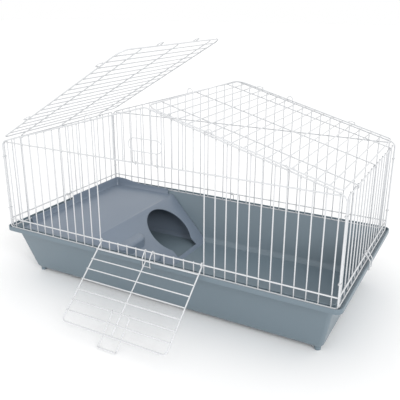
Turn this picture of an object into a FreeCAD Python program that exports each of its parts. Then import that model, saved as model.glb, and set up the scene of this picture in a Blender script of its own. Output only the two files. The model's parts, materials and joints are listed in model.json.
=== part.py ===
import FreeCAD, Part
import math
import os
import Sketcher
from FreeCAD import Placement, Rotation, Vector

# Wire rabbit cage: a plastic tray, a welded wire top with two lift-up roof panels, a drop-down
# ramp door, wire clips and a hide that drops into the tray.
#
# Frame: X along the length, Y from front to back, +Z up, floor at z = 0. Everything is laid out
# about the middle of the tray. The last step moves the whole cage along Y, so that the origin is
# the bottom centre of the box that the cage and its open door fill.

DIMENSIONS = {
    # tray
    "tray_length": 1000, "tray_width": 540, "rim_corner": 20, "rim_top": 158,
    "lip_depth": 12, "lip_thickness": 3, "channel_floor": 152.1, "flange_thickness": 2.5,
    "ridge_top": 156, "ridge_length": 961, "ridge_width": 501, "wall_corner": 12,
    "base_length": 892, "base_width": 414, "base_bottom": 12, "base_corner": 12,
    "heel_length": 902, "heel_width": 424, "heel_top": 18, "wall_thickness": 2.5,
    "floor_top": 14.8, "floor_length": 872, "floor_width": 392, "cove_top": 25,
    "foot_radius": 8, "foot_inset": 10,
    # wire top
    "overhang": 12, "base_wire_z": 154, "second_rise": 27, "eave_rise": 259, "ridge_rise": 398,
    "frame_wire": 1.8, "bar_wire": 1.5, "clip_wire": 1.25, "weld": 0.05,
    "upright_count": 34, "end_gap": 16, "side_gap_count": 16, "side_setback": 6,
    "eave_bend": 20, "eave_reach": 474.8, "peak_bend": 30, "foot_bend": 6, "start_bend": 10,
    "corner_ring_low": 60, "corner_ring_high": 215,
    "guide_offset": 172, "guide_height": 15,
    # roof panels
    "roof_closed": 15.6, "roof_open": 31, "roof_start": 14, "roof_end": 505, "roof_half": 257.3,
    "roof_bar_count": 16, "rib_offset": 181, "rib_shift": -6, "roof_bend": 30, "hinge_bend": 14,
    "hinge_play": 0.3,
    "loop_width": 17, "loop_reach": 13, "loop_low": 133, "loop_high": 430, "hook_offset": 95,
    # door, latch, lock ring and base clips
    "pivot_play": 0.5, "door_gap_count": 11, "door_inset": 3.8, "door_length": 230,
    "door_first": 26, "door_bar_count": 7, "door_slope": 41, "door_bend": 10,
    "latch_half": 26, "latch_bar": 5, "latch_length": 89.8, "latch_rise": 6, "latch_tilt": 5,
    "ring_half": 48, "ring_low": 31, "ring_high": 63, "ring_arm": 31.5,
    "clip_half": 11, "clip_out": 14.4, "clip_lean": 53.8, "clip_drop": 38, "clip_hook": 3.7,
    # hide
    "hide_edge": 231, "hide_toe": 77, "hide_top": 146, "hide_round": 4, "hide_sheet": 3,
    "hide_play": 2.5, "arch_radius": 85, "arch_centre": 93, "arch_down": 99, "arch_foot": 59,
    "arch_end": 189, "guard_low": 162.5, "guard_high": 174, "guard_end": 252, "guard_run": 105,
    "guard_level": 28, "guard_front": -190, "step_front": -160, "step_back": -28, "step_high": 112,
    "step_low": 62, "step_tread": 36, "step_corner": 33, "step_round": 11,
}

doc = FreeCAD.newDocument("RabbitCage")
sheet = doc.addObject("Spreadsheet::Sheet", "Sizes")
for row, (alias, value) in enumerate(DIMENSIONS.items(), start=1):
    sheet.set(f"A{row}", alias)
    sheet.set(f"B{row}", str(value))
    sheet.setAlias(f"B{row}", alias)
doc.recompute()


def size(alias):
    """A driving dimension, read from the sheet."""
    return float(sheet.get(alias))


HALF_LENGTH = size("tray_length") / 2 - size("overhang")
HALF_WIDTH = size("tray_width") / 2 - size("overhang")
FRAME = size("frame_wire")
BAR = size("bar_wire")
CLIP = size("clip_wire")
WELD = size("weld")
PLAY = size("pivot_play")
BASE_Z = size("base_wire_z")
SECOND_Z = BASE_Z + size("second_rise")
EAVE_Z = BASE_Z + size("eave_rise")
RIDGE_Z = BASE_Z + size("ridge_rise")
BAR_LAYER = FRAME + BAR - WELD
UP = Vector(0, 0, 1)
sub_parts = []


# ---------------------------------------------------------------- wire work
def rod(start, end, radius):
    """One straight length of wire."""
    along = end - start
    return Part.makeCylinder(radius, along.Length, start, along)


def elbow(before, corner, after, bend, radius):
    """The round bend at a corner, with the points where it meets its two runs."""
    incoming = (corner - before).normalize()
    outgoing = (after - corner).normalize()
    turn = incoming.getAngle(outgoing)
    reach = bend * math.tan(turn / 2)
    start = corner - incoming * reach
    normal = incoming.cross(outgoing).normalize()
    centre = start + normal.cross(incoming) * bend
    section = Part.Face(Part.Wire(Part.makeCircle(radius, start, incoming)))
    solid = section.revolve(centre, normal, math.degrees(turn))
    return start, corner + outgoing * reach, solid


def bent_wire(route, radius, closed=False):
    """The straight runs and round bends of a wire along (point, bend radius) pairs."""
    count = len(route)
    bends = {}
    for i in range(count) if closed else range(1, count - 1):
        corner, bend = route[i]
        bends[i] = elbow(route[i - 1][0], corner, route[(i + 1) % count][0], bend, radius)
    solids = [bend[2] for bend in bends.values()]
    for i in range(count if closed else count - 1):
        j = (i + 1) % count
        start = bends[i][1] if i in bends else route[i][0]
        end = bends[j][0] if j in bends else route[j][0]
        if (end - start).Length > 0.01:
            solids.append(rod(start, end, radius))
    return solids


def one_piece(solids):
    """Runs and bends joined into one solid."""
    return solids[0].multiFuse(solids[1:]).removeSplitter()


def curl(offset):
    """A three-quarter turn round an axis at (0, 0), from (offset, 0) back to (0, offset)."""
    return [((offset, 0), 0), ((offset, -offset), offset), ((-offset, -offset), offset),
            ((-offset, offset), offset)]


def add_shape(label, solids):
    """A sub-part whose shape is worked out here: a group of separate wires, or a bent one."""
    feature = doc.addObject("Part::Feature", label)
    feature.Label = label
    feature.Shape = solids[0] if len(solids) == 1 else Part.makeCompound(solids)
    sub_parts.append(feature)


def add_straight_wire(label, start, direction, length, radius_alias):
    """A sub-part that is one straight wire: a cylinder bound to the sheet."""
    wire = doc.addObject("Part::Cylinder", label)
    wire.Label = label
    wire.setExpression("Radius", f"Sizes.{radius_alias}")
    wire.setExpression("Height", length)
    wire.Placement = Placement(start, Rotation(UP, direction))
    sub_parts.append(wire)


def gable_z(x):
    """Height of the gable's sloping wire above the floor at x."""
    return RIDGE_Z - (RIDGE_Z - EAVE_Z) * abs(x) / HALF_LENGTH


def upright_x():
    """Where the uprights of the front and back stand, evenly spaced between the end gaps."""
    count = int(size("upright_count"))
    span = 2 * (HALF_LENGTH - size("end_gap"))
    return [-span / 2 + span * i / (count - 1) for i in range(count)]


UPRIGHTS = upright_x()
PITCH = UPRIGHTS[1] - UPRIGHTS[0]
DOOR_EDGE = size("door_gap_count") * PITCH / 2
DOOR_HALF = DOOR_EDGE - size("door_inset")


# ---------------------------------------------------------------- tray
def rounded_rectangle(sketch, length, width, corner):
    """A centred rectangle with round corners, its three sizes expressions on the sheet."""
    half_x = 50
    half_y = 30
    round_by = 5
    inner_x = half_x - round_by
    inner_y = half_y - round_by
    sides = [(-inner_x, -half_y, inner_x, -half_y), (half_x, -inner_y, half_x, inner_y),
             (inner_x, half_y, -inner_x, half_y), (-half_x, inner_y, -half_x, -inner_y)]
    first = sketch.GeometryCount
    for x0, y0, x1, y1 in sides:
        sketch.addGeometry(Part.LineSegment(Vector(x0, y0, 0), Vector(x1, y1, 0)))
    centres = [(inner_x, -inner_y), (inner_x, inner_y), (-inner_x, inner_y), (-inner_x, -inner_y)]
    for quarter, (x, y) in enumerate(centres):
        circle = Part.Circle(Vector(x, y, 0), UP, round_by)
        start = math.radians(90 * quarter - 90)
        sketch.addGeometry(Part.ArcOfCircle(circle, start, start + math.pi / 2))
    for i in range(4):
        side = first + i
        arc = first + 4 + i
        sketch.addConstraint(Sketcher.Constraint("Tangent", side, 2, arc, 1))
        sketch.addConstraint(Sketcher.Constraint("Tangent", arc, 2, first + (i + 1) % 4, 1))
        if i:
            sketch.addConstraint(Sketcher.Constraint("Equal", first + 4, arc))
    for i, way in enumerate(("Horizontal", "Vertical") * 2):
        sketch.addConstraint(Sketcher.Constraint(way, first + i))
    sketch.addConstraint(Sketcher.Constraint("Symmetric", first + 4, 3, first + 6, 3, -1, 1))
    corner_at = sketch.addConstraint(Sketcher.Constraint("Radius", first + 4, round_by))
    length_at = sketch.addConstraint(Sketcher.Constraint("DistanceX", -1, 1, first + 1, 1, half_x))
    width_at = sketch.addConstraint(Sketcher.Constraint("DistanceY", -1, 1, first + 2, 1, half_y))
    sketch.setExpression(f"Constraints[{corner_at}]", corner)
    sketch.setExpression(f"Constraints[{length_at}]", f"({length}) / 2")
    sketch.setExpression(f"Constraints[{width_at}]", f"({width}) / 2")


def level_sketch(body, name, height):
    """A sketch of the body, parallel to its own XY plane, at a height given as an expression."""
    planes = {plane.Role: plane for plane in body.Origin.OriginFeatures}
    sketch = body.newObject("Sketcher::SketchObject", name)
    sketch.AttachmentSupport = [(planes["XY_Plane"], "")]
    sketch.MapMode = "FlatFace"
    sketch.setExpression("AttachmentOffset.Base.z", height)
    return sketch


def outline(body, name, height, length, width, corner):
    """One rounded rectangle on a level sketch."""
    sketch = level_sketch(body, name, height)
    rounded_rectangle(sketch, length, width, corner)
    return sketch


def loft(body, kind, name, sketches):
    """A straight-sided loft through three outlines."""
    feature = body.newObject(f"PartDesign::{kind}", name)
    feature.Profile = sketches[0]
    feature.Sections = sketches[1:]
    feature.Ruled = True


def pad(body, name, sketch, length):
    """A pad of the sketch, upwards."""
    feature = body.newObject("PartDesign::Pad", name)
    feature.Profile = sketch
    feature.setExpression("Length", length)


def add_tray():
    """Tapered tray with a coved floor, a channelled rim with an outer lip, and four feet."""
    body = doc.addObject("PartDesign::Body", "tray")
    body.Label = "tray"
    inner = " - 2 * Sizes.wall_thickness"
    loft(body, "AdditiveLoft", "Shell", [
        outline(body, "ShellBase", "Sizes.base_bottom", "Sizes.base_length", "Sizes.base_width",
                "Sizes.base_corner"),
        outline(body, "ShellHeel", "Sizes.heel_top", "Sizes.heel_length", "Sizes.heel_width",
                "Sizes.wall_corner"),
        outline(body, "ShellTop", "Sizes.ridge_top", "Sizes.ridge_length", "Sizes.ridge_width",
                "Sizes.wall_corner")])
    flange = outline(body, "FlangeOutline", "Sizes.channel_floor - Sizes.flange_thickness",
                     "Sizes.tray_length", "Sizes.tray_width", "Sizes.rim_corner")
    pad(body, "Flange", flange, "Sizes.flange_thickness")
    lip = outline(body, "LipOutline", "Sizes.rim_top - Sizes.lip_depth", "Sizes.tray_length",
                  "Sizes.tray_width", "Sizes.rim_corner")
    rounded_rectangle(lip, "Sizes.tray_length - 2 * Sizes.lip_thickness",
                      "Sizes.tray_width - 2 * Sizes.lip_thickness",
                      "Sizes.rim_corner - Sizes.lip_thickness")
    pad(body, "Lip", lip, "Sizes.lip_depth")
    feet = level_sketch(body, "FeetOutline", "0")
    for side_x in (-1, 1):
        for side_y in (-1, 1):
            spot = Vector(side_x * 40, side_y * 20, 0)
            foot = feet.addGeometry(Part.Circle(spot, UP, 5))
            radius_at = feet.addConstraint(Sketcher.Constraint("Radius", foot, 5))
            x_at = feet.addConstraint(Sketcher.Constraint("DistanceX", -1, 1, foot, 3, spot.x))
            y_at = feet.addConstraint(Sketcher.Constraint("DistanceY", -1, 1, foot, 3, spot.y))
            feet.setExpression(f"Constraints[{radius_at}]", "Sizes.foot_radius")
            feet.setExpression(f"Constraints[{x_at}]",
                               f"{side_x} * (Sizes.base_length / 2 - Sizes.foot_inset)")
            feet.setExpression(f"Constraints[{y_at}]",
                               f"{side_y} * (Sizes.base_width / 2 - Sizes.foot_inset)")
    pad(body, "Feet", feet, "Sizes.floor_top")
    loft(body, "SubtractiveLoft", "Inside", [
        outline(body, "InsideFloor", "Sizes.floor_top", "Sizes.floor_length", "Sizes.floor_width",
                "Sizes.base_corner"),
        outline(body, "InsideCove", "Sizes.cove_top", "Sizes.heel_length" + inner,
                "Sizes.heel_width" + inner, "Sizes.wall_corner"),
        outline(body, "InsideTop", "Sizes.ridge_top", "Sizes.ridge_length" + inner,
                "Sizes.ridge_width" + inner, "Sizes.wall_corner")])
    sub_parts.append(body)


# ---------------------------------------------------------------- wire top
def add_frame(label, corners, bends):
    """A closed frame wire through the corners."""
    add_shape(label, bent_wire(list(zip(corners, bends)), FRAME, closed=True))


def add_gable(face, name):
    """A front (-1) or back (1) panel: border, two long wires, uprights and lid guides."""
    y = face * HALF_WIDTH
    foot = size("foot_bend")
    eave = size("eave_bend")
    corners = [Vector(-HALF_LENGTH, y, BASE_Z), Vector(HALF_LENGTH, y, BASE_Z),
               Vector(HALF_LENGTH, y, EAVE_Z), Vector(0, y, RIDGE_Z),
               Vector(-HALF_LENGTH, y, EAVE_Z)]
    add_frame(f"{name}_border_wire", corners, [foot, foot, eave, size("peak_bend"), eave])
    across = Vector(1, 0, 0)
    second_start = Vector(FRAME - WELD - HALF_LENGTH, y, SECOND_Z)
    add_straight_wire(f"{name}_second_wire", second_start, across,
                      "Sizes.tray_length - 2 * (Sizes.overhang + Sizes.frame_wire - Sizes.weld)",
                      "frame_wire")
    add_straight_wire(f"{name}_eave_wire", Vector(-size("eave_reach"), y, EAVE_Z), across,
                      "2 * Sizes.eave_reach", "frame_wire")
    groups = {}
    for x in UPRIGHTS:
        low = BASE_Z - BAR
        top = gable_z(x) + BAR
        if face > 0:
            groups.setdefault("uprights", []).append((x, low, top))
        elif abs(x) > DOOR_EDGE - PITCH / 2:
            side = "left" if x < 0 else "right"
            groups.setdefault(f"{side}_uprights", []).append((x, low, top))
        else:
            groups.setdefault("gable_uprights", []).append((x, EAVE_Z - BAR, top))
            groups.setdefault("sill_uprights", []).append((x, low, SECOND_Z + BAR))
    inside = y - face * BAR_LAYER
    for group, spots in groups.items():
        add_shape(f"{name}_{group}", [rod(Vector(x, inside, low), Vector(x, inside, top), BAR)
                                      for x, low, top in spots])
    half = size("loop_width") / 2
    outside = y + face * (FRAME + CLIP - WELD)
    guides = []
    for centre in (-size("guide_offset"), size("guide_offset")):
        top = gable_z(centre) + size("guide_height")
        route = [(Vector(centre - half, outside, gable_z(centre - half) - FRAME), 0),
                 (Vector(centre - half, outside, top), half),
                 (Vector(centre + half, outside, top), half),
                 (Vector(centre + half, outside, gable_z(centre + half) - FRAME), 0)]
        guides.append(one_piece(bent_wire(route, CLIP)))
    add_shape(f"{name}_lid_guides", guides)


def add_end(side, name):
    """A left (-1) or right (1) end panel; its top wire is the pin of a roof panel's hinge."""
    x = side * HALF_LENGTH
    half = HALF_WIDTH - size("side_setback")
    foot = size("foot_bend")
    top = size("start_bend")
    corners = [Vector(x, -half, BASE_Z), Vector(x, half, BASE_Z), Vector(x, half, EAVE_Z),
               Vector(x, -half, EAVE_Z)]
    add_frame(f"{name}_border_wire", corners, [foot, foot, top, top])
    add_straight_wire(f"{name}_second_wire", Vector(x, FRAME - WELD - half, SECOND_Z),
                      Vector(0, 1, 0),
                      "Sizes.tray_width - 2 * (Sizes.overhang + Sizes.side_setback "
                      "+ Sizes.frame_wire - Sizes.weld)", "frame_wire")
    inside = x - side * BAR_LAYER
    gaps = int(size("side_gap_count"))
    pitch = 2 * HALF_WIDTH / gaps
    add_shape(f"{name}_uprights", [
        rod(Vector(inside, k * pitch - HALF_WIDTH, BASE_Z - BAR),
            Vector(inside, k * pitch - HALF_WIDTH, EAVE_Z + BAR), BAR) for k in range(1, gaps)])


def add_corner_rings():
    """Rings that tie each gable panel to its neighbouring end panel, two to a corner."""
    wrap = FRAME + CLIP + WELD
    rings = []
    for side in (-1, 1):
        for face in (-1, 1):
            for z in (BASE_Z + size("corner_ring_low"), BASE_Z + size("corner_ring_high")):
                x = side * HALF_LENGTH
                near = face * (HALF_WIDTH - size("side_setback") - wrap)
                far = face * (HALF_WIDTH + wrap)
                route = [(Vector(x - wrap, near, z), wrap), (Vector(x + wrap, near, z), wrap),
                         (Vector(x + wrap, far, z), wrap), (Vector(x - wrap, far, z), wrap)]
                rings.append(one_piece(bent_wire(route, CLIP, closed=True)))
    add_shape("corner_rings", rings)


# ---------------------------------------------------------------- roof panels
def roof_place(side, degrees):
    """How a spot (u up the slope, y along the hinge, n above it) sits in space."""
    slope = math.radians(degrees)

    def place(u, y, n):
        out = u * math.cos(slope) - n * math.sin(slope)
        return Vector(side * (HALF_LENGTH - out), y, EAVE_Z + u * math.sin(slope)
                      + n * math.cos(slope))
    return place


def add_roof(side, name, degrees, hooked):
    """A hinged roof panel: ribs curled round the hinge wire, a border, bars and loops."""
    place = roof_place(side, degrees)
    rib_n = FRAME + BAR + size("hinge_play")
    border_n = rib_n + BAR_LAYER
    bar_n = rib_n + 2 * BAR - WELD
    loop_n = border_n + FRAME + CLIP - WELD
    start, end, half = size("roof_start"), size("roof_end"), size("roof_half")
    corners = [place(start, -half, border_n), place(start, half, border_n),
               place(end, half, border_n), place(end, -half, border_n)]
    low_bend, high_bend = size("hinge_bend"), size("roof_bend")
    add_frame(f"{name}_border", corners, [low_bend, low_bend, high_bend, high_bend])
    count = int(size("roof_bar_count"))
    reach = half - FRAME + WELD
    bars = []
    for k in range(1, count + 1):
        u = start + (end - start) * k / (count + 1)
        bars.append(rod(place(u, -reach, bar_n), place(u, reach, bar_n), BAR))
    add_shape(f"{name}_bars", bars)
    ribs, eyes = [], []
    for y in (-size("rib_offset"), size("rib_shift"), size("rib_offset")):
        ribs.append(rod(place(0, y, rib_n), place(end + BAR, y, rib_n), BAR))
        turn = curl(rib_n) + [((0, rib_n), 0)]
        eyes.append(one_piece(bent_wire([(place(u, y, n), bend) for (u, n), bend in turn], BAR)))
    add_shape(f"{name}_ribs", ribs)
    add_shape(f"{name}_eyes", eyes)
    wide = size("loop_width") / 2
    past = size("loop_reach")
    loops = []
    for u in (size("loop_low"), size("loop_high")):
        for face in (-1, 1):
            inner = face * (half - FRAME)
            outer = face * (half + past)
            route = [(place(u - wide, inner, loop_n), 0), (place(u - wide, outer, loop_n), wide),
                     (place(u + wide, outer, loop_n), wide), (place(u + wide, inner, loop_n), 0)]
            loops.append(one_piece(bent_wire(route, CLIP)))
    add_shape(f"{name}_loops", loops)
    if hooked:
        hooks = []
        for y in (-size("hook_offset"), size("hook_offset")):
            route = [(place(end - FRAME, y - wide, loop_n), 0),
                     (place(end + past, y - wide, loop_n), wide),
                     (place(end + past, y + wide, loop_n), wide),
                     (place(end - FRAME, y + wide, loop_n), 0)]
            hooks.append(one_piece(bent_wire(route, CLIP)))
        add_shape(f"{name}_hooks", hooks)


# ---------------------------------------------------------------- door, latch, ring and clips
def door_place(x, u, n):
    """A spot on the door: u from its hinge towards the free edge, n towards its outer face."""
    slope = math.radians(size("door_slope"))
    return Vector(x, n * math.sin(slope) - u * math.cos(slope) - HALF_WIDTH,
                  SECOND_Z - u * math.sin(slope) - n * math.cos(slope))


def door_bar_u(k):
    """Distance of the door's cross wire k from its hinge."""
    gap = (size("door_length") - size("door_first")) / size("door_bar_count")
    return size("door_first") + k * gap


def add_door():
    """Ramp door: a frame curled round the second wire, cross wires and a wire down the middle."""
    frame_n = 2 * FRAME + PLAY
    bar_n = frame_n - BAR_LAYER
    length = size("door_length")
    bend = size("door_bend")
    route = [(door_place(-DOOR_HALF, 0, frame_n), 0), (door_place(-DOOR_HALF, length, frame_n), bend),
             (door_place(DOOR_HALF, length, frame_n), bend), (door_place(DOOR_HALF, 0, frame_n), 0)]
    add_shape("door_frame", bent_wire(route, FRAME))
    turn = curl(frame_n) + [((0, frame_n), 0)]
    add_shape("door_eyes", [
        one_piece(bent_wire([(door_place(x, u, n), bend) for (u, n), bend in turn], FRAME))
        for x in (-DOOR_HALF, DOOR_HALF)])
    reach = DOOR_HALF + BAR
    add_shape("door_bars", [
        rod(door_place(-reach, door_bar_u(k), bar_n), door_place(reach, door_bar_u(k), bar_n), BAR)
        for k in range(int(size("door_bar_count")))])
    middle_n = bar_n + 2 * BAR - WELD
    add_shape("door_middle_bar", [rod(door_place(0, size("door_first") - BAR, middle_n),
                                      door_place(0, length - FRAME + WELD, middle_n), BAR)])


def hinged_loop(label, eye, leg, to_point, half):
    """A U of thin wire, its two legs curled round the wire it hangs from.

    The curls start at the middle of that wire, with the first run leaving along a at b = eye.
    leg lists the ((a, b), bend) corners down one leg; half is half the width of the U.
    """
    one_leg = curl(eye) + leg
    there = [(to_point(-half, *spot), bend) for spot, bend in one_leg]
    back = [(to_point(half, *spot), bend) for spot, bend in reversed(one_leg)]
    add_shape(label, [one_piece(bent_wire(there + back, CLIP))])


def add_latch():
    """Latch on the outer face of the door, with its tip resting on the floor."""
    eye = BAR + CLIP + PLAY
    tilt = math.radians(size("latch_tilt"))
    pivot_u = door_bar_u(size("latch_bar"))
    pivot_n = 2 * FRAME + PLAY - BAR_LAYER
    rise = size("latch_rise")

    def place(x, a, b):
        return door_place(x, pivot_u + a * math.cos(tilt) - b * math.sin(tilt),
                          pivot_n + a * math.sin(tilt) + b * math.cos(tilt))
    leg = [((size("latch_length"), eye), rise / 2), ((size("latch_length"), eye - rise), rise / 2)]
    hinged_loop("latch", eye, leg, place, size("latch_half"))


def add_lock_ring():
    """Long ring on two arms that swing on the front eave wire, to hold the closed latch."""
    eye = FRAME + CLIP + PLAY
    y = -HALF_WIDTH - eye
    low = EAVE_Z + size("ring_low")
    high = EAVE_Z + size("ring_high")
    half = size("ring_half")
    bend = (high - low) / 2
    add_shape("lock_ring", bent_wire([(Vector(-half, y, low), bend), (Vector(half, y, low), bend),
                                      (Vector(half, y, high), bend), (Vector(-half, y, high), bend)],
                                     CLIP, closed=True))
    arms = []
    for x in (-size("ring_arm"), size("ring_arm")):
        turn = curl(eye) + [((size("ring_low") - CLIP + WELD, eye), 0)]
        route = [(Vector(x, -HALF_WIDTH - b, EAVE_Z + a), bend) for (a, b), bend in turn]
        arms.append(one_piece(bent_wire(route, CLIP)))
    add_shape("lock_ring_arms", arms)


def add_base_clip(name, outward):
    """Wire clip that swings on the second wire of a panel and hooks under the tray's lip."""
    eye = FRAME + CLIP + PLAY
    lean = math.radians(size("clip_lean"))
    along = outward.cross(UP)
    stand = HALF_WIDTH if outward.x == 0 else HALF_LENGTH
    knee_out = size("clip_out")
    knee = (knee_out - eye * math.sin(lean)) / math.cos(lean)
    bend = size("clip_hook") / 2

    def place(s, a, b):
        out = a * math.cos(lean) + b * math.sin(lean)
        up = b * math.cos(lean) - a * math.sin(lean)
        return along * s + outward * (stand + out) + UP * (SECOND_Z + up)

    def turned(out, up):
        return (out * math.cos(lean) - up * math.sin(lean),
                out * math.sin(lean) + up * math.cos(lean))
    leg = [((knee, eye), 4 * bend), (turned(knee_out, -size("clip_drop")), bend),
           (turned(knee_out - size("clip_hook"), -size("clip_drop")), bend)]
    hinged_loop(name, eye, leg, place, size("clip_half"))


# ---------------------------------------------------------------- hide
def level_ring(length, width, corner, z):
    """A rounded rectangle at height z, as a wire."""
    x, y = length / 2, width / 2
    spots = [(-1, -1), (1, -1), (1, 1), (-1, 1)]
    diagonal = corner * math.sqrt(0.5)
    edges = []
    previous = Vector(-x, corner - y, z)
    for i, (sx, sy) in enumerate(spots):
        centre = Vector(sx * (x - corner), sy * (y - corner), z)
        turn = Rotation(UP, 90 * i)
        start = centre + turn.multVec(Vector(-corner, 0, 0))
        middle = centre + turn.multVec(Vector(-diagonal, -diagonal, 0))
        end = centre + turn.multVec(Vector(0, -corner, 0))
        if i:
            edges.append(Part.makeLine(previous, start))
        edges.append(Part.Arc(start, middle, end).toShape())
        previous = end
    edges.append(Part.makeLine(previous, edges[0].Vertexes[0].Point))
    return Part.Wire(edges)


def cavity(gap, top):
    """The inside of the tray, smaller by gap all round and carried straight up to top."""
    wall = 2 * size("wall_thickness")
    levels = [(size("floor_length"), size("floor_width"), size("base_corner"), size("floor_top")),
              (size("heel_length") - wall, size("heel_width") - wall, size("wall_corner"),
               size("cove_top")),
              (size("ridge_length") - wall, size("ridge_width") - wall, size("wall_corner"),
               size("ridge_top"))]
    rings = [level_ring(length - 2 * gap, width - 2 * gap, corner - gap, z)
             for length, width, corner, z in levels]
    lower = Part.makeLoft(rings, True, True)
    rim = Part.Face(rings[-1]).extrude(UP * (top - size("ridge_top")))
    return lower.fuse(rim)


def prism(outline, axis, start, length):
    """An outline of (along, z) pairs, extruded across the cage from start."""
    if axis == "Y":
        spots = [Vector(a, start, z) for a, z in outline]
        way = Vector(0, length, 0)
    else:
        spots = [Vector(start, a, z) for a, z in outline]
        way = Vector(length, 0, 0)
    return Part.Face(Part.makePolygon(spots + spots[:1])).extrude(way)


def rounded(solid, x, z, radius):
    """The solid with its edge along Y at (x, z) rounded."""
    edges = [edge for edge in solid.Edges
             if all(abs(v.X - x) < 0.01 and abs(v.Z - z) < 0.01 for v in edge.Vertexes)]
    return solid.makeFillet(radius, edges)


def step_block(low, high, corner, lip):
    """A block between two corners, its outer uprights rounded by corner and its top by lip."""
    size_of = high - low
    block = Part.makeBox(size_of.x, size_of.y, size_of.z, low)
    uprights = [edge for edge in block.Edges
                if all(abs(v.X - high.x) < 0.01 for v in edge.Vertexes)
                and abs(edge.BoundBox.YLength) < 0.01]
    block = block.makeFillet(corner, uprights)
    brim = [edge for edge in block.Edges
            if all(abs(v.Z - high.z) < 0.01 for v in edge.Vertexes)
            and any(v.X > low.x + 0.01 for v in edge.Vertexes)]
    return block.makeFillet(lip, brim)


def hide_block(gap, sheet):
    """The hide as if solid: platform, slope and steps, set in by sheet from its outer skin."""
    top = size("hide_top") - sheet
    floor = size("floor_top")
    drop = size("hide_top") - floor
    run = size("hide_edge") - size("hide_toe")
    slant = math.hypot(run, drop)
    inset = sheet * slant / drop
    edge = -size("hide_edge") - inset + sheet * run / drop
    toe = -size("hide_toe") - inset
    far = -HALF_LENGTH
    half = HALF_WIDTH
    block = prism([(far, floor), (toe, floor), (edge, top), (far, top)], "Y", -half, 2 * half)
    block = rounded(block, edge, top, size("hide_round") - sheet)
    front = size("step_front") + sheet
    back = size("step_back") - sheet
    for tread_z in (size("step_high"), size("step_low")):
        z = tread_z - sheet
        at_tread = toe - (z - floor) * run / drop
        nose = -size("hide_toe") - (tread_z - floor) * run / drop + size("step_tread") - sheet
        foot = floor + (toe - nose) * drop / run
        block = block.fuse(step_block(Vector(at_tread - 1, front, foot), Vector(nose, back, z),
                                      size("step_corner") - sheet, size("step_round") - sheet))
    return block.common(cavity(gap + sheet, size("guard_low")))


def hide_arch():
    """The doorway through the slope, square to it: most of a circle over two straight sides."""
    slant = Vector(size("hide_edge") - size("hide_toe"), 0, size("floor_top") - size("hide_top"))
    down = slant.normalize()
    top = Vector(-size("hide_edge"), size("arch_centre"), size("hide_top"))
    across = Vector(0, 1, 0)
    outward = down.cross(across)
    deep = 20
    start = top - outward * deep
    round_part = Part.makeCylinder(size("arch_radius"), 2 * deep, start + down * size("arch_down"),
                                   outward)
    half = size("arch_foot")
    spots = [start + down * v + across * s for v, s in (
        (size("arch_down"), -half), (size("arch_end"), -half),
        (size("arch_end"), half), (size("arch_down"), half))]
    lower = Part.Face(Part.makePolygon(spots + spots[:1])).extrude(outward * (2 * deep))
    return round_part.fuse(lower)


def guard_outline(corner, end, way):
    """Side view of one arm of the guard wall: level at the corner, then an S-curve down."""
    low, high = size("guard_low"), size("guard_high")
    base = size("hide_top") - size("hide_sheet")
    steps = 10
    top = []
    for k in range(steps + 1):
        fall = (1 - math.cos(math.pi * k / steps)) / 2
        along = corner + way * (size("guard_level") + size("guard_run") * k / steps)
        top.append((along, high - (high - low) * fall))
    return [(corner, base), (corner, high)] + top + [(end, low), (end, base)]


def add_hide():
    """Moulded hide: a platform and a stepped slope with an arched doorway, and a guard wall."""
    gap = size("hide_play")
    sheet = size("hide_sheet")
    shell = hide_block(gap, 0).cut(hide_block(gap, sheet)).cut(hide_arch())
    high = size("guard_high")
    wall = cavity(gap, high).cut(cavity(gap + sheet, high))
    end_x = -HALF_LENGTH
    back = prism(guard_outline(end_x, -size("guard_end"), 1), "Y", 0, HALF_WIDTH)
    left = prism(guard_outline(HALF_WIDTH, size("guard_front"), -1), "X", end_x,
                 size("guard_level"))
    guard = wall.common(back.fuse(left))
    add_shape("hide", [shell.fuse(guard).removeSplitter()])


# ---------------------------------------------------------------- assembly
add_tray()
add_gable(-1, "front")
add_gable(1, "back")
add_end(-1, "left")
add_end(1, "right")
add_corner_rings()
add_roof(-1, "left_roof", size("roof_open"), hooked=True)
add_roof(1, "right_roof", size("roof_closed"), hooked=False)
add_door()
add_latch()
add_lock_ring()
add_base_clip("front_clip", Vector(0, -1, 0))
add_base_clip("back_clip", Vector(0, 1, 0))
add_base_clip("left_clip", Vector(-1, 0, 0))
add_base_clip("right_clip", Vector(1, 0, 0))
add_hide()
doc.recompute()

boxes = [feature.Shape.optimalBoundingBox(False, False) for feature in sub_parts]
middle = (min(box.YMin for box in boxes) + max(box.YMax for box in boxes)) / 2
to_origin = Placement(Vector(0, -middle, 0), Rotation())
for feature in sub_parts:
    feature.Placement = to_origin * feature.Placement
doc.recompute()

for feature in doc.Objects:
    if {"Invalid", "Error"} & set(feature.State):
        raise RuntimeError(f"{feature.Label} did not build: {feature.State}")
os.makedirs("parts", exist_ok=True)
for feature in sub_parts:
    if feature.Shape.isNull() or not feature.Shape.isValid():
        raise RuntimeError(f"{feature.Label} has no valid shape")
    feature.Shape.exportStep(f"parts/{feature.Label}.step")
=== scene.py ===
import json
import math

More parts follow.
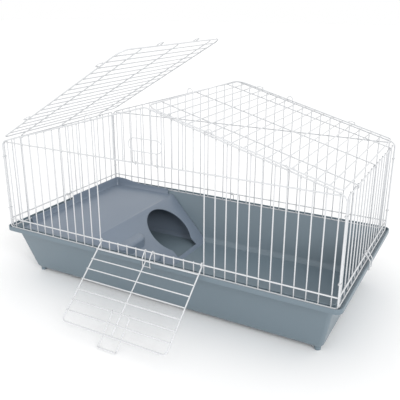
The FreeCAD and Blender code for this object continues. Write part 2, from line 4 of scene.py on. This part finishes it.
import bpy
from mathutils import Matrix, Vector

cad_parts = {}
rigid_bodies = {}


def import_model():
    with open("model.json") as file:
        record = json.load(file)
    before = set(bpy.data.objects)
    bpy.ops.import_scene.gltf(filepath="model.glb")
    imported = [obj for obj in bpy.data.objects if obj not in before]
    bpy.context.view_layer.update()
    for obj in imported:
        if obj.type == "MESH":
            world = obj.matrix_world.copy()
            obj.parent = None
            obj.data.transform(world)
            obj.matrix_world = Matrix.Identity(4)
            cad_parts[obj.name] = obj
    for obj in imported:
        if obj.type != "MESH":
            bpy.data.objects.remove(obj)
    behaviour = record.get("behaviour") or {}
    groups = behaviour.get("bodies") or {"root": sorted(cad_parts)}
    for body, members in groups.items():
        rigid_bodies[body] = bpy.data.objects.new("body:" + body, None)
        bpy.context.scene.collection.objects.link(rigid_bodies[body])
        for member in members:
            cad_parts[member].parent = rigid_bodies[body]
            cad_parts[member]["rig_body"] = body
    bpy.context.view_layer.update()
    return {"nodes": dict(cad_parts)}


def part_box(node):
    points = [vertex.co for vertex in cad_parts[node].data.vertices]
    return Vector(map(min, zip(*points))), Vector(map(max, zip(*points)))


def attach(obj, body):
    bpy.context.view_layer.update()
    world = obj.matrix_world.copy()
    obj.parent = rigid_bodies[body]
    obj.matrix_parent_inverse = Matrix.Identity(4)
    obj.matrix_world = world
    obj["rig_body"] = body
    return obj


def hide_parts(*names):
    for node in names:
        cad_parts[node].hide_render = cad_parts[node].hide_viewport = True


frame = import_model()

tray_low, tray_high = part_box("tray")
MIDDLE_Y = (tray_low.y + tray_high.y) / 2
MM = 0.001

# Sizes are in millimetres and degrees, and places are about the tray's middle.
HALF_LENGTH, HALF_WIDTH = 488, 258
BASE_Z, SECOND_Z, EAVE_Z, RIDGE_Z = 154, 181, 413, 552

# Wire radii: of borders, of bars, and of loops and clips.
FRAME, BAR, CLIP = 1.8, 1.5, 1.25
WELD = 0.05
BAR_LAYER = FRAME + BAR - WELD
EYE_PLAY, RIB_PLAY = 0.5, 0.3

# Loops of wire welded on as guides and hooks.
LOOP_HALF, LOOP_BEND, LOOP_REACH = 8.5, 8.4, 13

# The uprights of the front and back panels, and the ramp door in the front one.
UPRIGHT_SPAN, UPRIGHT_GAPS, DOORWAY_GAPS = 944, 33, 11
UPRIGHTS = [(i - UPRIGHT_GAPS / 2) * UPRIGHT_SPAN / UPRIGHT_GAPS for i in range(UPRIGHT_GAPS + 1)]
HALF_GAP = UPRIGHT_SPAN / UPRIGHT_GAPS / 2
DOOR_EDGE = DOORWAY_GAPS / 2 * UPRIGHT_SPAN / UPRIGHT_GAPS
DOOR_HALF = DOOR_EDGE - 3.8
DOOR_SLOPE = math.radians(41)
DOOR_LENGTH, DOOR_FIRST, DOOR_BARS = 230, 26, 7
DOOR_GAP = (DOOR_LENGTH - DOOR_FIRST) / DOOR_BARS

# How finely round wires are drawn: flat sides, degrees for each part of a bend, and the
# spacing under which two spots count as one.
RING, BEND_STEP, SAME_SPOT = 14, 9, 0.02
# Open wire ends are rounded off over this share of the radius, by (way in, width) steps.
END_SOFT = 0.35
END_STEPS = ((0, 0.66), (0.3, 0.9), (1, 1))


def at(x, y, z):
    """A spot in millimetres about the tray's middle, in the frame's metres."""
    return Vector((x * MM, y * MM + MIDDLE_Y, z * MM))


# ---------------------------------------------------------------- materials
def node_of(tree, kind, **values):
    """A shader node with its inputs set."""
    node = tree.nodes.new(kind)
    for name, value in values.items():
        node.inputs[name.replace("_", " ")].default_value = value
    return node


def material(name, colour, roughness, coat, bump, grain, tint):
    """A painted or moulded finish: fine bump, with a slow drift in roughness and colour."""
    made = bpy.data.materials.new(name)
    made.use_nodes = True
    tree = made.node_tree
    shader = tree.nodes["Principled BSDF"]
    shader.inputs["Coat Weight"].default_value = coat
    shader.inputs["Coat Roughness"].default_value = 0.2
    shader.inputs["Specular IOR Level"].default_value = 0.5
    place = tree.nodes.new("ShaderNodeTexCoord")
    fine = node_of(tree, "ShaderNodeTexNoise", Scale=grain, Detail=3.0, Roughness=0.6)
    slow = node_of(tree, "ShaderNodeTexNoise", Scale=6.0, Detail=2.0, Roughness=0.5)
    for noise in (fine, slow):
        tree.links.new(place.outputs["Object"], noise.inputs["Vector"])
    mix = tree.nodes.new("ShaderNodeMix")
    mix.data_type = "RGBA"
    mix.inputs["A"].default_value = (*colour, 1)
    mix.inputs["B"].default_value = (*[c * tint for c in colour], 1)
    tree.links.new(slow.outputs["Fac"], mix.inputs["Factor"])
    tree.links.new(mix.outputs["Result"], shader.inputs["Base Color"])
    spread = node_of(tree, "ShaderNodeMapRange", To_Min=roughness - 0.05, To_Max=roughness + 0.07)
    tree.links.new(fine.outputs["Fac"], spread.inputs["Value"])
    tree.links.new(spread.outputs["Result"], shader.inputs["Roughness"])
    bumps = node_of(tree, "ShaderNodeBump", Strength=bump, Distance=0.0004)
    tree.links.new(fine.outputs["Fac"], bumps.inputs["Height"])
    tree.links.new(bumps.outputs["Normal"], shader.inputs["Normal"])
    return made


WIRE_PAINT = material("wire_paint", (0.60, 0.61, 0.625), roughness=0.28, coat=0.35,
                      bump=0.10, grain=500, tint=0.97)
TRAY_PLASTIC = material("tray_plastic", (0.147, 0.194, 0.228), roughness=0.36, coat=0.10,
                        bump=0.12, grain=700, tint=0.95)
HIDE_PLASTIC = material("hide_plastic", (0.168, 0.207, 0.262), roughness=0.34, coat=0.08,
                        bump=0.12, grain=700, tint=0.95)


# ---------------------------------------------------------------- pieces
def piece(name, vertices, faces, paint, nodes, sharp=40):
    """A mesh that stands for CAD nodes and moves with their body."""
    mesh = bpy.data.meshes.new(name)
    mesh.from_pydata([tuple(v) for v in vertices], [], faces)
    mesh.validate()
    mesh.polygons.foreach_set("use_smooth", [True] * len(mesh.polygons))
    mesh.set_sharp_from_angle(angle=math.radians(sharp))
    mesh.materials.append(paint)
    made = bpy.data.objects.new(name, mesh)
    bpy.context.scene.collection.objects.link(made)
    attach(made, frame["nodes"][nodes[0]]["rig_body"])
    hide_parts(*nodes)
    return made


def bend_spots(before, corner, after, bend):
    """Spots round the bend of a wire at a corner."""
    incoming = (corner - before).normalized()
    outgoing = (after - corner).normalized()
    turn = incoming.angle(outgoing)
    start = corner - incoming * bend * math.tan(turn / 2)
    normal = incoming.cross(outgoing).normalized()
    inward = normal.cross(incoming)
    centre = start + inward * bend
    steps = max(3, math.ceil(math.degrees(turn) / BEND_STEP))
    spots = []
    for k in range(steps + 1):
        a = turn * k / steps
        spots.append(centre - inward * bend * math.cos(a) + incoming * bend * math.sin(a))
    return spots


def spots_along(route, closed):
    """The centre line of a wire bent along (corner, bend radius) pairs, all in millimetres."""
    spots = []
    last = len(route) - 1
    for i, (corner, bend) in enumerate(route):
        if closed or 0 < i < last:
            bent = bend_spots(route[i - 1][0], corner, route[(i + 1) % (last + 1)][0], bend)
        else:
            bent = [corner]
        for spot in bent:
            if not spots or (spot - spots[-1]).length > SAME_SPOT:
                spots.append(spot)
    if closed and (spots[0] - spots[-1]).length < SAME_SPOT:
        spots.pop()
    return spots


def add_tube(vertices, faces, route, radius, closed):
    """Adds one round wire, its open ends slightly rounded over."""
    spots = spots_along(route, closed)
    count = len(spots)
    lines = []
    for i in range(count):
        before = spots[i - 1] if closed or i else spots[i]
        after = spots[(i + 1) % count] if closed or i < count - 1 else spots[i]
        lines.append((after - before).normalized())
    rings = [(spots[i], lines[i], radius) for i in range(count)]
    if not closed:
        soft = radius * END_SOFT
        first, last = lines[0], lines[-1]
        start = [(spots[0] + first * soft * way, first, radius * wide) for way, wide in END_STEPS]
        end = [(spots[-1] - last * soft * way, last, radius * wide) for way, wide in END_STEPS]
        rings = start + rings[1:-1] + end[::-1]
    across = rings[0][1].orthogonal().normalized()
    base = len(vertices)
    for spot, line, wide in rings:
        across = (across - line * across.dot(line)).normalized()
        up = line.cross(across)
        for k in range(RING):
            a = 2 * math.pi * k / RING
            v = spot + (across * math.cos(a) + up * math.sin(a)) * wide
            vertices.append(at(*v))
    total = len(rings)
    for i in range(total if closed else total - 1):
        j = (i + 1) % total
        for k in range(RING):
            m = (k + 1) % RING
            faces.append((base + i * RING + k, base + i * RING + m,
                          base + j * RING + m, base + j * RING + k))
    if not closed:
        faces.append([base + k for k in reversed(range(RING))])
        faces.append([base + (total - 1) * RING + k for k in range(RING)])


def wires(name, nodes, routes, radius, closed=False):
    """A piece made of one or more wires of one thickness."""
    vertices, faces = [], []
    for route in routes:
        add_tube(vertices, faces, route, radius, closed)
    return piece(name, vertices, faces, WIRE_PAINT, nodes)


def straight(start, end):
    """The route of a straight wire."""
    return [(Vector(start), 0), (Vector(end), 0)]


def curl(offset):
    """A three-quarter turn round an axis at (0, 0), from (offset, 0) back to (0, offset)."""
    return [((offset, 0), 0), ((offset, -offset), offset), ((-offset, -offset), offset),
            ((-offset, offset), offset)]


def placed(flat, place):
    """A flat route of ((a, b), bend), put in space by place(a, b)."""
    return [(place(*spot), bend) for spot, bend in flat]


def u_loop(corners):
    """The route of a loop with open ends: a foot, two bent corners and the other foot."""
    first, second, third, fourth = corners
    return [(first, 0), (second, LOOP_BEND), (third, LOOP_BEND), (fourth, 0)]


# ---------------------------------------------------------------- wire top
def gable_z(x):
    """Height of a gable's sloping border at x."""
    return RIDGE_Z - (RIDGE_Z - EAVE_Z) * abs(x) / HALF_LENGTH


def panel_edge(name, corners, second_from, second_to):
    """A panel's closed border wire, and its second wire a little above the base."""
    wires(f"{name}_border", [f"{name}_border_wire"],
          [[(Vector(spot), bend) for spot, bend in corners]], FRAME, closed=True)
    wires(f"{name}_second", [f"{name}_second_wire"], [straight(second_from, second_to)], FRAME)


def gable(face, name):
    """A front (-1) or back (1) panel."""
    base_bend, eave_bend, ridge_bend = 6, 20, 30
    eave_reach = 474.8
    y = face * HALF_WIDTH
    reach = HALF_LENGTH - FRAME + WELD
    corners = [((-HALF_LENGTH, y, BASE_Z), base_bend), ((HALF_LENGTH, y, BASE_Z), base_bend),
               ((HALF_LENGTH, y, EAVE_Z), eave_bend), ((0, y, RIDGE_Z), ridge_bend),
               ((-HALF_LENGTH, y, EAVE_Z), eave_bend)]
    panel_edge(name, corners, (-reach, y, SECOND_Z), (reach, y, SECOND_Z))
    wires(f"{name}_eave", [f"{name}_eave_wire"],
          [straight((-eave_reach, y, EAVE_Z), (eave_reach, y, EAVE_Z))], FRAME)

    inside = y - face * BAR_LAYER
    groups = {}
    for x in UPRIGHTS:
        low, top = BASE_Z - BAR, gable_z(x) + BAR
        if face > 0:
            groups.setdefault("uprights", []).append((x, low, top))
        elif abs(x) > DOOR_EDGE - HALF_GAP:
            beside = "left_uprights" if x < 0 else "right_uprights"
            groups.setdefault(beside, []).append((x, low, top))
        else:
            groups.setdefault("gable_uprights", []).append((x, EAVE_Z - BAR, top))
            groups.setdefault("sill_uprights", []).append((x, low, SECOND_Z + BAR))
    for group, spots in groups.items():
        wires(f"{name}_{group}_look", [f"{name}_{group}"],
              [straight((x, inside, low), (x, inside, top)) for x, low, top in spots], BAR)

    guide_x, guide_rise = 172, 15
    outside = y + face * (FRAME + CLIP - WELD)
    routes = []
    for centre in (-guide_x, guide_x):
        top = gable_z(centre) + guide_rise
        low, high = centre - LOOP_HALF, centre + LOOP_HALF
        routes.append(u_loop([Vector((low, outside, gable_z(low) - FRAME)),
                              Vector((low, outside, top)), Vector((high, outside, top)),
                              Vector((high, outside, gable_z(high) - FRAME))]))
    wires(f"{name}_guides", [f"{name}_lid_guides"], routes, CLIP)


END_HALF = HALF_WIDTH - 6


def end_panel(side, name):
    """A left (-1) or right (1) end panel."""
    base_bend, eave_bend = 6, 10
    pitch, count = 32.25, 15
    x = side * HALF_LENGTH
    reach = END_HALF - FRAME + WELD
    corners = [((x, -END_HALF, BASE_Z), base_bend), ((x, END_HALF, BASE_Z), base_bend),
               ((x, END_HALF, EAVE_Z), eave_bend), ((x, -END_HALF, EAVE_Z), eave_bend)]
    panel_edge(name, corners, (x, -reach, SECOND_Z), (x, reach, SECOND_Z))
    inside = x - side * BAR_LAYER
    wires(f"{name}_uprights_look", [f"{name}_uprights"],
          [straight((inside, k * pitch - HALF_WIDTH, BASE_Z - BAR),
                    (inside, k * pitch - HALF_WIDTH, EAVE_Z + BAR))
           for k in range(1, count + 1)], BAR)


def corner_rings():
    """The rings that tie the panels together, two at each corner."""
    rises = (60, 215)
    wrap = FRAME + CLIP + WELD
    routes = []
    for side in (-1, 1):
        for face in (-1, 1):
            near, far = face * (END_HALF - wrap), face * (HALF_WIDTH + wrap)
            low, high = side * HALF_LENGTH - wrap, side * HALF_LENGTH + wrap
            for rise in rises:
                z = BASE_Z + rise
                routes.append([(Vector((low, near, z)), wrap), (Vector((high, near, z)), wrap),
                               (Vector((high, far, z)), wrap), (Vector((low, far, z)), wrap)])
    wires("corner_rings_look", ["corner_rings"], routes, CLIP, closed=True)


# ---------------------------------------------------------------- roof panels
def roof(side, name, degrees, hooked):
    """A roof panel hinged on a left (-1) or right (1) end panel, raised by so many degrees."""
    start, end, half = 14, 505, 257.3
    start_bend, end_bend = 14, 30
    gaps, ribs_y, loops_u, hooks_y = 17, (-181, -6, 181), (133, 430), (-95, 95)
    slope = math.radians(degrees)

    def place(u, y, n):
        """A spot u from the hinge up the slope and n above the hinge wire's plane."""
        out = u * math.cos(slope) - n * math.sin(slope)
        rise = u * math.sin(slope) + n * math.cos(slope)
        return Vector((side * (HALF_LENGTH - out), y, EAVE_Z + rise))

    rib_n = FRAME + BAR + RIB_PLAY
    border_n, bar_n = rib_n + BAR_LAYER, rib_n + 2 * BAR - WELD
    loop_n = border_n + FRAME + CLIP - WELD
    corners = [(start, -half, start_bend), (start, half, start_bend),
               (end, half, end_bend), (end, -half, end_bend)]
    wires(f"{name}_border_look", [f"{name}_border"],
          [[(place(u, y, border_n), bend) for u, y, bend in corners]], FRAME, closed=True)
    reach = half - FRAME + WELD
    routes = []
    for k in range(1, gaps):
        u = start + (end - start) * k / gaps
        routes.append(straight(place(u, -reach, bar_n), place(u, reach, bar_n)))
    wires(f"{name}_bars_look", [f"{name}_bars"], routes, BAR)
    wires(f"{name}_ribs_look", [f"{name}_ribs", f"{name}_eyes"],
          [placed(curl(rib_n) + [((end + BAR, rib_n), 0)], lambda u, n: place(u, y, n))
           for y in ribs_y], BAR)
    routes = []
    for u in loops_u:
        for face in (-1, 1):
            inner, outer = face * (half - FRAME), face * (half + LOOP_REACH)
            low, high = u - LOOP_HALF, u + LOOP_HALF
            routes.append(u_loop([place(low, inner, loop_n), place(low, outer, loop_n),
                                  place(high, outer, loop_n), place(high, inner, loop_n)]))
    wires(f"{name}_loops_look", [f"{name}_loops"], routes, CLIP)
    if hooked:
        inner, outer = end - FRAME, end + LOOP_REACH
        wires(f"{name}_hooks_look", [f"{name}_hooks"],
              [u_loop([place(inner, y - LOOP_HALF, loop_n), place(outer, y - LOOP_HALF, loop_n),
                       place(outer, y + LOOP_HALF, loop_n), place(inner, y + LOOP_HALF, loop_n)])
               for y in hooks_y], CLIP)


# ---------------------------------------------------------------- door, latch, ring and clips
def on_door(x, u, n):
    """A spot u from the door's hinge down the lowered door, and n below its plane."""
    return Vector((x, n * math.sin(DOOR_SLOPE) - u * math.cos(DOOR_SLOPE) - HALF_WIDTH,
                   SECOND_Z - u * math.sin(DOOR_SLOPE) - n * math.cos(DOOR_SLOPE)))


def door():
    """The ramp door, hinged on the front panel's second wire."""
    corner_bend = 10
    frame_n = 2 * FRAME + EYE_PLAY
    bar_n = frame_n - BAR_LAYER
    leg = curl(frame_n) + [((DOOR_LENGTH, frame_n), corner_bend)]
    left = placed(leg, lambda u, n: on_door(-DOOR_HALF, u, n))
    right = placed(leg, lambda u, n: on_door(DOOR_HALF, u, n))
    wires("door_frame_look", ["door_frame", "door_eyes"], [left + right[::-1]], FRAME)
    reach = DOOR_HALF + BAR
    levels = [DOOR_FIRST + DOOR_GAP * k for k in range(DOOR_BARS)]
    wires("door_bars_look", ["door_bars"],
          [straight(on_door(-reach, u, bar_n), on_door(reach, u, bar_n)) for u in levels], BAR)
    middle_n = bar_n + 2 * BAR - WELD
    wires("door_middle_look", ["door_middle_bar"],
          [straight(on_door(0, DOOR_FIRST - BAR, middle_n),
                    on_door(0, DOOR_LENGTH - FRAME, middle_n))], BAR)


def hinged_loop(name, node, eye, leg, place, half):
    """A U of thin wire, its two legs curled round the wire it hangs from."""
    one_leg = curl(eye) + leg
    route = placed(one_leg, lambda a, b: place(-half, a, b))
    route += placed(one_leg, lambda a, b: place(half, a, b))[::-1]
    wires(name, [node], [route], CLIP)


def latch():
    """The latch, hinged on one of the door's bars and tilted a little off the door."""
    bar, bar_lift, tilt = 5, 0.85, math.radians(5)
    length, lip, bend, half = 89.8, 6, 2.9, 26
    eye = BAR + CLIP + EYE_PLAY

    def place(x, a, b):
        """A spot a from the hinge along the latch, and b off its plane."""
        return on_door(x, DOOR_FIRST + bar * DOOR_GAP + a * math.cos(tilt) - b * math.sin(tilt),
                       bar_lift + a * math.sin(tilt) + b * math.cos(tilt))

    hinged_loop("latch_look", "latch", eye,
                [((length, eye), bend), ((length, eye - lip), bend)], place, half)


def lock_ring():
    """The ring over the doorway that takes the latch, and its two arms."""
    half, low, high, bend = 48, 444, 476, 15.9
    arm_x, arm_height = 31.5, 31
    eye = FRAME + CLIP + EYE_PLAY
    y = -HALF_WIDTH - eye
    corners = [(-half, low), (half, low), (half, high), (-half, high)]
    wires("lock_ring_look", ["lock_ring"], [[(Vector((x, y, z)), bend) for x, z in corners]],
          CLIP, closed=True)
    wires("lock_ring_arms_look", ["lock_ring_arms"],
          [placed(curl(eye) + [((arm_height - CLIP, eye), 0)],
                  lambda a, b: Vector((x, -HALF_WIDTH - b, EAVE_Z + a)))
           for x in (-arm_x, arm_x)], CLIP)


def base_clip(node, outward):
    """A clip on a panel's second wire that leans out over the rim and hooks in under it."""
    lean, half = math.radians(53.8), 11
    knee_out, toe_out, drop = 14.4, 10.7, 38
    knee_bend, toe_bend = 7.4, 1.8
    eye = FRAME + CLIP + EYE_PLAY
    up = Vector((0, 0, 1))
    along = outward.cross(up)
    stand = HALF_WIDTH if outward.x == 0 else HALF_LENGTH
    knee = (knee_out - eye * math.sin(lean)) / math.cos(lean)

    def place(s, a, b):
        """A spot s along the panel, a down the leaning leg and b off it."""
        out = a * math.cos(lean) + b * math.sin(lean)
        rise = b * math.cos(lean) - a * math.sin(lean)
        return along * s + outward * (stand + out) + up * (SECOND_Z + rise)

    def turned(out, rise):
        """The (a, b) of a spot given by how far out and up it is from the hinge."""
        return (out * math.cos(lean) - rise * math.sin(lean),
                out * math.sin(lean) + rise * math.cos(lean))

    leg = [((knee, eye), knee_bend), (turned(knee_out, -drop), toe_bend),
           (turned(toe_out, -drop), toe_bend)]
    hinged_loop(f"{node}_look", node, eye, leg, place, half)


# ---------------------------------------------------------------- tray
def loop_spots(half_x, half_y, corner, z, steps=10):
    """Spots round a rounded rectangle at height z, always the same number of them."""
    spots = []
    for quarter, (sx, sy) in enumerate(((1, 1), (-1, 1), (-1, -1), (1, -1))):
        for k in range(steps + 1):
            a = math.radians(90 * (quarter + k / steps))
            spots.append(at(sx * (half_x - corner) + corner * math.cos(a),
                            sy * (half_y - corner) + corner * math.sin(a), z))
    return spots


def skin(loops, vertices, faces, fill_first, fill_last):
    """Walls between loops of equal length, and flat ends where asked."""
    base, count = len(vertices), len(loops[0])
    for loop in loops:
        vertices.extend(loop)
    for i in range(len(loops) - 1):
        for k in range(count):
            m = (k + 1) % count
            faces.append((base + i * count + k, base + i * count + m,
                          base + (i + 1) * count + m, base + (i + 1) * count + k))
    if fill_first:
        faces.append([base + k for k in reversed(range(count))])
    if fill_last:
        faces.append([base + (len(loops) - 1) * count + k for k in range(count)])


def rounded_line(corners, steps=4, share=0.45):
    """A cross-section through its corners, each rounded off.

    Each corner is (half length, half width, plan corner radius, z, rounding)."""
    line = []
    for i, (half_x, half_y, corner, z, soft) in enumerate(corners):
        if i in (0, len(corners) - 1) or soft == 0:
            line.append((half_x, half_y, corner, z))
            continue
        here = Vector((half_x, half_y, corner, z))
        before = Vector(corners[i - 1][:4]) - here
        after = Vector(corners[i + 1][:4]) - here
        a = here + before * min(soft / before.length, share)
        b = here + after * min(soft / after.length, share)
        for k in range(steps + 1):
            t = k / steps
            line.append(tuple(a * (1 - t) ** 2 + here * 2 * t * (1 - t) + b * t * t))
    return line


def tray():
    """The tapered tray with its feet: a section from under the base, over the rim, to the floor."""
    base, floor = 12, 14.8
    lip_low, rim_under, channel, rim_inner, rim_top = 146, 149.6, 152.1, 156, 158
    section = [
        (0, 0, 0, base, 0),
        # underside, heel and outer wall
        (446, 207, 12, base, 3), (451, 212, 12, 18, 4), (479.1, 248.7, 12, rim_under, 1.5),
        # outer lip
        (497, 267, 17, rim_under, 0.8), (497, 267, 17, lip_low, 0.8),
        (500, 270, 20, lip_low, 0.8), (500, 270, 20, rim_top, 1.6), (497, 267, 17, rim_top, 1.2),
        # channel for the wire top, and the rim's inner edge
        (497, 267, 17, channel, 1.2), (479.7, 249.4, 12, channel, 0.8),
        (480.5, 250.5, 12, rim_inner, 1.0), (478, 248, 12, rim_inner, 1.0),
        # inner wall, cove and floor
        (448.5, 209.5, 12, 25, 5), (436, 196, 12, floor, 4), (0, 0, 0, floor, 0)]
    vertices, faces = [], []
    loops = [loop_spots(*level) for level in rounded_line(section)[1:-1]]
    skin(loops, vertices, faces, True, True)

    foot_x, foot_y, foot_sides = 436, 197, 32
    foot = [(7.9, 12.2), (8, 2), (7.6, 0.6), (6.6, 0)]
    angles = [2 * math.pi * k / foot_sides for k in range(foot_sides)]
    for sx in (-1, 1):
        for sy in (-1, 1):
            loops = [[at(sx * foot_x + r * math.cos(a), sy * foot_y + r * math.sin(a), z)
                      for a in angles] for r, z in foot]
            skin(loops, vertices, faces, False, True)
    piece("tray_look", vertices, faces, TRAY_PLASTIC, ["tray"], sharp=35)


# ---------------------------------------------------------------- hide
def hide():
    """The hide's own shape, with its edges rounded off a little."""
    mesh = frame["nodes"]["hide"].data.copy()
    mesh.name = "hide_look"
    mesh.materials.clear()
    mesh.materials.append(HIDE_PLASTIC)
    made = bpy.data.objects.new("hide_look", mesh)
    bpy.context.scene.collection.objects.link(made)
    weld = made.modifiers.new("weld", "WELD")
    weld.merge_threshold = 0.02 * MM
    soft = made.modifiers.new("soft", "BEVEL")
    soft.width = 1.2 * MM
    soft.segments = 3
    soft.limit_method = "ANGLE"
    soft.angle_limit = math.radians(35)
    mesh.polygons.foreach_set("use_smooth", [True] * len(mesh.polygons))
    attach(made, frame["nodes"]["hide"]["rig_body"])
    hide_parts("hide")


gable(-1, "front")
gable(1, "back")
end_panel(-1, "left")
end_panel(1, "right")
corner_rings()
roof(-1, "left_roof", 31, True)
roof(1, "right_roof", 15.6, False)
door()
latch()
lock_ring()
base_clip("front_clip", Vector((0, -1, 0)))
base_clip("back_clip", Vector((0, 1, 0)))
base_clip("left_clip", Vector((-1, 0, 0)))
base_clip("right_clip", Vector((1, 0, 0)))
tray()
hide()


# ---------------------------------------------------------------- stage, light and camera
def stage():
    """A plain pale floor, just under the feet."""
    bpy.ops.mesh.primitive_plane_add(size=40, location=(0, 0, -0.0002))
    floor = bpy.context.object
    floor.name = "floor"
    made = bpy.data.materials.new("floor_paint")
    made.use_nodes = True
    shader = made.node_tree.nodes["Principled BSDF"]
    shader.inputs["Base Color"].default_value = (0.93, 0.93, 0.93, 1)
    shader.inputs["Roughness"].default_value = 0.9
    shader.inputs["Specular IOR Level"].default_value = 0.1
    floor.data.materials.append(made)


def sun(name, direction, strength, spread):
    """Light from far away, travelling along direction, with soft-edged shadows."""
    data = bpy.data.lights.new(name, "SUN")
    data.energy = strength
    data.angle = math.radians(spread)
    light = bpy.data.objects.new(name, data)
    light.rotation_euler = Vector(direction).to_track_quat("-Z", "Y").to_euler()
    light.location = (0, 0, 3)
    bpy.context.scene.collection.objects.link(light)


def sky():
    """An even white light from all round."""
    world = bpy.data.worlds.new("world")
    bpy.context.scene.world = world
    world.use_nodes = True
    background = world.node_tree.nodes["Background"]
    background.inputs["Color"].default_value = (1, 1, 1, 1)
    background.inputs["Strength"].default_value = 1.0


def camera():
    """The camera, looking down on the cage's front right corner."""
    data = bpy.data.cameras.new("camera")
    data.sensor_width = 36
    data.lens = 49.7
    data.shift_x = 0.011
    data.shift_y = -0.0125
    data.clip_start = 0.05
    made = bpy.data.objects.new("camera", data)
    made.location = (0.7270, -1.2357, 0.7815)
    azimuth, elevation = math.radians(28.96), math.radians(19.155)
    look = Vector((-math.sin(azimuth) * math.cos(elevation),
                   math.cos(azimuth) * math.cos(elevation), -math.sin(elevation)))
    made.rotation_euler = look.to_track_quat("-Z", "Y").to_euler()
    bpy.context.scene.collection.objects.link(made)
    bpy.context.scene.camera = made


stage()
bpy.context.scene.view_settings.view_transform = "Standard"
sky()
sun("key", (-0.8, 0.5, -0.42), strength=1.3, spread=25)
sun("fill", (0.1, 0.9, -0.3), strength=0.35, spread=50)
camera()
